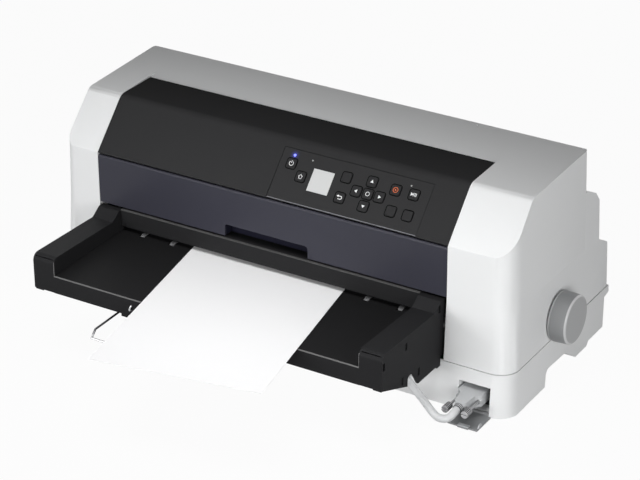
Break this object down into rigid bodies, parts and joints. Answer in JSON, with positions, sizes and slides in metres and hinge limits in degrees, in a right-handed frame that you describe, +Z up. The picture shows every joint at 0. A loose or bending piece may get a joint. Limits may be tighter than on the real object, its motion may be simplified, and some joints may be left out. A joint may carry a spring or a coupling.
{
  "type": "dot matrix printer",
  "caption": "Wide flat-bed impact printer with black hinged cover, smoked window, front sheet tray, key panel, side feed knob and a stowed data cable.",
  "frame": {"origin": "middle of the footprint box on the table, with the loaded sheet and without the cable", "axes": "+X to the right as the user sees the front, +Y from the user to the rear, +Z up"},
  "size_m": [0.668, 0.68, 0.2639],
  "materials": {
    "case_white": "fine satin texture",
    "cover_black": "fine leather-like texture",
    "window_smoke": "smoked, clear",
    "tray_black": "satin",
    "key_black": "satin with pale symbols",
    "display_pale": "pale display",
    "light_blue": "lit indicator",
    "steel_sheet": "zinc plated",
    "steel_bright": "polished",
    "rubber_grey": "matt",
    "rubber_black": "matt",
    "knob_grey": "fine satin texture",
    "gear_white": "plain moulded",
    "motor_grey": "satin",
    "board_green": "circuit board",
    "paper_white": "plain office paper",
    "cable_grey": "soft jacket"
  },
  "bodies": {
    "case": {"lower_case": "case_white", "upper_case": "case_white", "front_tray": "tray_black", "entry_guide": "tray_black", "control_panel": "cover_black", "panel_display": "display_pale", "panel_lights": "light_blue", "panel_bridge": "steel_sheet", "feed_motor": "motor_grey", "left_side_plate": "steel_sheet", "right_side_plate": "steel_sheet", "frame_base": "steel_sheet", "rear_rail": "steel_sheet", "guide_shaft": "steel_bright", "platen_bar": "rubber_black", "paper_guide": "tray_black", "carriage_motor": "motor_grey", "drive_belt": "rubber_black", "main_board": "board_green", "power_supply": "steel_sheet", "power_inlet": "key_black", "port_bracket": "motor_grey", "rubber_feet": "rubber_black", "cable_plug": "cable_grey", "plug_screws": "steel_bright", "interface_cable": "cable_grey", "cable_coil": "cable_grey", "far_plug": "cable_grey"},
    "cover": {"top_cover": "cover_black"},
    "window": {"front_window": "window_smoke", "window_pocket": "window_smoke"},
    "knob": {"feed_knob": "knob_grey", "knob_shaft": "steel_bright"},
    "idler_a": {"idler_gear_a": "gear_white"},
    "idler_b": {"idler_gear_b": "gear_white"},
    "front_roller": {"front_feed_roller": "rubber_grey"},
    "rear_roller": {"rear_feed_roller": "rubber_grey"},
    "pinion": {"feed_pinion": "gear_white"},
    "free_rollers": {"tray_rollers": "rubber_grey"},
    "carriage": {"carriage": "tray_black", "print_head": "motor_grey", "ribbon_cartridge": "cover_black"},
    "motor_pulley": {"motor_pulley": "steel_bright"},
    "idler_pulley": {"idler_pulley": "steel_bright"},
    "wire": {"wire_support": "steel_bright"},
    "flap": {"connector_flap": "knob_grey"},
    "sheet": {"loaded_sheet": "paper_white"},
    "key_power": {"key_power": "key_black"},
    "key_mode": {"key_mode": "key_black"},
    "key_source": {"key_source": "key_black"},
    "key_back": {"key_back": "key_black"},
    "key_up": {"key_up": "key_black"},
    "key_left": {"key_left": "key_black"},
    "key_ok": {"key_ok": "key_black"},
    "key_right": {"key_right": "key_black"},
    "key_down": {"key_down": "key_black"},
    "key_cancel": {"key_cancel": "key_black"},
    "key_pause": {"key_pause": "key_black"},
    "key_load": {"key_load": "key_black"},
    "key_unit": {"key_unit": "key_black"}
  },
  "joints": [
    {"name": "cover_hinge", "type": "hinge", "parent": "case", "child": "cover", "pos_m": [-0.01113, 0.12375, 0.2555], "axis": [-1, 0, 0], "range_deg": [0, 70]},
    {"name": "window_hinge", "type": "hinge", "parent": "case", "child": "window", "pos_m": [-0.01113, 0.01325, 0.1992], "axis": [-1, 0, 0], "range_deg": [0, 95]},
    {"name": "knob_turn", "type": "hinge", "parent": "case", "child": "knob", "pos_m": [0.3026, 0.12725, 0.083], "axis": [1, 0, 0], "continuous": true},
    {"name": "idler_a_turn", "type": "hinge", "parent": "case", "child": "idler_a", "pos_m": [0.22987, 0.09736, 0.08557], "axis": [1, 0, 0], "continuous": true},
    {"name": "idler_b_turn", "type": "hinge", "parent": "case", "child": "idler_b", "pos_m": [0.22987, 0.07361, 0.089], "axis": [1, 0, 0], "continuous": true},
    {"name": "front_roller_turn", "type": "hinge", "parent": "case", "child": "front_roller", "pos_m": [-0.01113, 0.04421, 0.095], "axis": [1, 0, 0], "continuous": true},
    {"name": "rear_roller_turn", "type": "hinge", "parent": "case", "child": "rear_roller", "pos_m": [-0.01113, 0.16119, 0.095], "axis": [1, 0, 0], "continuous": true},
    {"name": "pinion_turn", "type": "hinge", "parent": "case", "child": "pinion", "pos_m": [0.22987, 0.11714, 0.10803], "axis": [1, 0, 0], "continuous": true},
    {"name": "free_roller_turn", "type": "hinge", "parent": "case", "child": "free_rollers", "pos_m": [-0.01113, 0.01425, 0.0991], "axis": [1, 0, 0], "continuous": true},
    {"name": "carriage_slide", "type": "slide", "parent": "case", "child": "carriage", "axis": [1, 0, 0], "range_m": [0, 0.345]},
    {"name": "motor_pulley_turn", "type": "hinge", "parent": "case", "child": "motor_pulley", "pos_m": [0.19672, 0.12425, 0.142], "axis": [0, 1, 0], "continuous": true},
    {"name": "idler_pulley_turn", "type": "hinge", "parent": "case", "child": "idler_pulley", "pos_m": [-0.25083, 0.12425, 0.142], "axis": [0, 1, 0], "continuous": true},
    {"name": "wire_slide", "type": "slide", "parent": "case", "child": "wire", "axis": [0, 1, 0], "range_m": [0, 0.045]},
    {"name": "flap_hinge", "type": "hinge", "parent": "case", "child": "flap", "pos_m": [0.25787, 0.00505, 0.0028], "axis": [-1, 0, 0], "range_deg": [0, 10]},
    {"name": "sheet_feed", "type": "slide", "parent": "case", "child": "sheet", "axis": [0, 1, 0], "range_m": [-0.03, 0.1]},
    {"name": "power_press", "type": "slide", "parent": "case", "child": "key_power", "axis": [0, 0.726, -0.6877], "range_m": [0, 0.0008], "stiffness_N_per_m": 300},
    {"name": "mode_press", "type": "slide", "parent": "case", "child": "key_mode", "axis": [0, 0.726, -0.6877], "range_m": [0, 0.0008], "stiffness_N_per_m": 300},
    {"name": "source_press", "type": "slide", "parent": "case", "child": "key_source", "axis": [0, 0.726, -0.6877], "range_m": [0, 0.0008], "stiffness_N_per_m": 300},
    {"name": "back_press", "type": "slide", "parent": "case", "child": "key_back", "axis": [0, 0.726, -0.6877], "range_m": [0, 0.0008], "stiffness_N_per_m": 300},
    {"name": "up_press", "type": "slide", "parent": "case", "child": "key_up", "axis": [0, 0.726, -0.6877], "range_m": [0, 0.0008], "stiffness_N_per_m": 300},
    {"name": "left_press", "type": "slide", "parent": "case", "child": "key_left", "axis": [0, 0.726, -0.6877], "range_m": [0, 0.0008], "stiffness_N_per_m": 300},
    {"name": "ok_press", "type": "slide", "parent": "case", "child": "key_ok", "axis": [0, 0.726, -0.6877], "range_m": [0, 0.0008], "stiffness_N_per_m": 300},
    {"name": "right_press", "type": "slide", "parent": "case", "child": "key_right", "axis": [0, 0.726, -0.6877], "range_m": [0, 0.0008], "stiffness_N_per_m": 300},
    {"name": "down_press", "type": "slide", "parent": "case", "child": "key_down", "axis": [0, 0.726, -0.6877], "range_m": [0, 0.0008], "stiffness_N_per_m": 300},
    {"name": "cancel_press", "type": "slide", "parent": "case", "child": "key_cancel", "axis": [0, 0.726, -0.6877], "range_m": [0, 0.0008], "stiffness_N_per_m": 300},
    {"name": "pause_press", "type": "slide", "parent": "case", "child": "key_pause", "axis": [0, 0.726, -0.6877], "range_m": [0, 0.0008], "stiffness_N_per_m": 300},
    {"name": "load_press", "type": "slide", "parent": "case", "child": "key_load", "axis": [0, 0.726, -0.6877], "range_m": [0, 0.0008], "stiffness_N_per_m": 300},
    {"name": "unit_press", "type": "slide", "parent": "case", "child": "key_unit", "axis": [0, 0.726, -0.6877], "range_m": [0, 0.0008], "stiffness_N_per_m": 300}
  ],
  "couplings": [
    {"joint": "rear_roller_turn", "follows": "knob_turn", "ratio": -1},
    {"joint": "idler_a_turn", "follows": "knob_turn", "ratio": -1.5},
    {"joint": "idler_b_turn", "follows": "knob_turn", "ratio": 1.5},
    {"joint": "front_roller_turn", "follows": "knob_turn", "ratio": -1},
    {"joint": "pinion_turn", "follows": "knob_turn", "ratio": -2},
    {"joint": "motor_pulley_turn", "follows": "carriage_slide", "rad_per_m": -112.99},
    {"joint": "idler_pulley_turn", "follows": "carriage_slide", "rad_per_m": -112.99}
  ]
}
